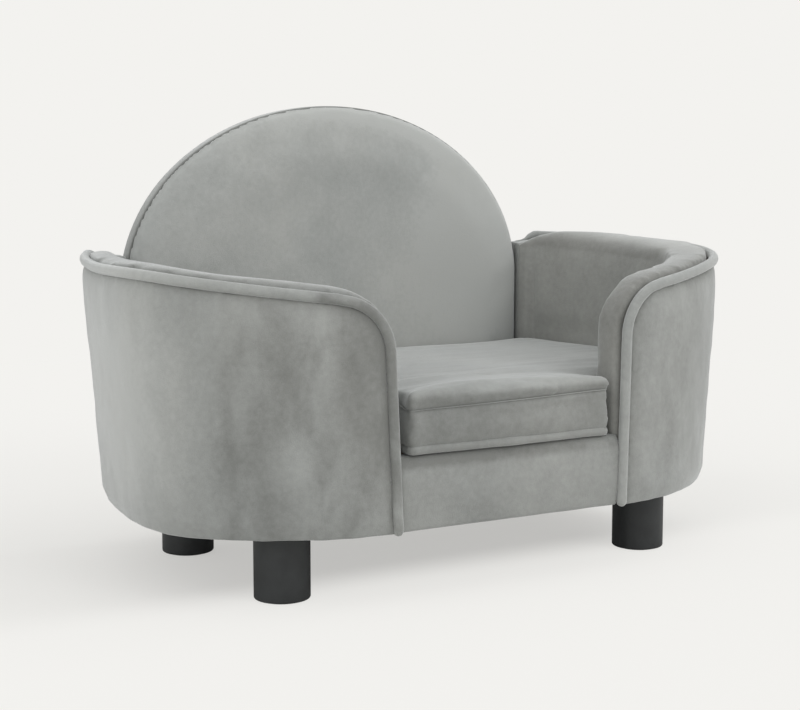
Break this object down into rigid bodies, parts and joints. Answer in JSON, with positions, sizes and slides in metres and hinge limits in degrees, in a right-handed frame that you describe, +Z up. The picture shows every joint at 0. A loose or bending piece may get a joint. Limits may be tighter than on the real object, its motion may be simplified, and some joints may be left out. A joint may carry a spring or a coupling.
{
  "type": "dog sofa bed",
  "caption": "Low tub-shaped sofa bed for a dog, with curved padded arms edged in piping, an arched backrest, a loose zipped seat cushion and short round legs.",
  "frame": {"origin": "on the floor, under the middle of the whole piece's box", "axes": "+X to the right of someone who looks at the front, -Y towards the front, +Z up"},
  "size_m": [0.6388, 0.36, 0.435],
  "materials": {
    "velvet": "napped velvet",
    "velvet_piping": "napped velvet over cord",
    "foam": "open cell foam",
    "wadding": "soft wadding",
    "timber": "sawn",
    "plywood": "sanded",
    "leg_black": "satin lacquer",
    "felt": "pressed felt",
    "dust_cloth": "thin matt cloth",
    "zinc_steel": "zinc plated",
    "zip_tape": "woven",
    "zip_metal": "satin"
  },
  "bodies": {
    "frame": {"bearer_left": "timber", "bearer_center": "timber", "bearer_right": "timber", "dust_cover": "dust_cloth", "base_board": "plywood", "seat_deck": "plywood", "front_rail": "timber", "front_rail_padding": "wadding", "front_rail_cover": "velvet", "back_board": "plywood", "back_foam": "foam", "back_front_cover": "velvet", "back_edge_band": "velvet", "back_rear_cover": "velvet", "leg_bolts": "zinc_steel", "tee_nuts": "zinc_steel", "rail_screws": "zinc_steel", "deck_screws": "zinc_steel", "back_bolts": "zinc_steel", "back_washers": "zinc_steel", "leg_front_left": "leg_black", "glide_front_left": "felt", "leg_front_right": "leg_black", "glide_front_right": "felt", "leg_rear_left": "leg_black", "glide_rear_left": "felt", "leg_rear_right": "leg_black", "glide_rear_right": "felt", "arm_board_right": "plywood", "arm_post_right": "timber", "arm_foam_right": "foam", "arm_inner_cover_right": "velvet", "arm_outer_cover_right": "velvet", "arm_cap_right": "velvet", "arm_welt_right": "velvet_piping", "arm_screws_right": "zinc_steel", "arm_board_left": "plywood", "arm_post_left": "timber", "arm_foam_left": "foam", "arm_inner_cover_left": "velvet", "arm_outer_cover_left": "velvet", "arm_cap_left": "velvet", "arm_welt_left": "velvet_piping", "arm_screws_left": "zinc_steel"},
    "cushion": {"cushion_foam": "foam", "cushion_bottom_panel": "velvet", "cushion_side_band": "velvet", "cushion_top_panel": "velvet", "cushion_bottom_welt": "velvet_piping", "cushion_top_seam": "velvet_piping", "zip_tapes": "zip_tape"},
    "slider": {"zip_slider": "zip_metal", "zip_pull": "zip_metal"}
  },
  "joints": [
    {"name": "cushion_lift", "type": "slide", "parent": "frame", "child": "cushion", "axis": [0, 0, 1], "range_m": [0, 0.28]},
    {"name": "zip_slide", "type": "slide", "parent": "cushion", "child": "slider", "axis": [1, 0, 0], "range_m": [0, 0.28]}
  ]
}
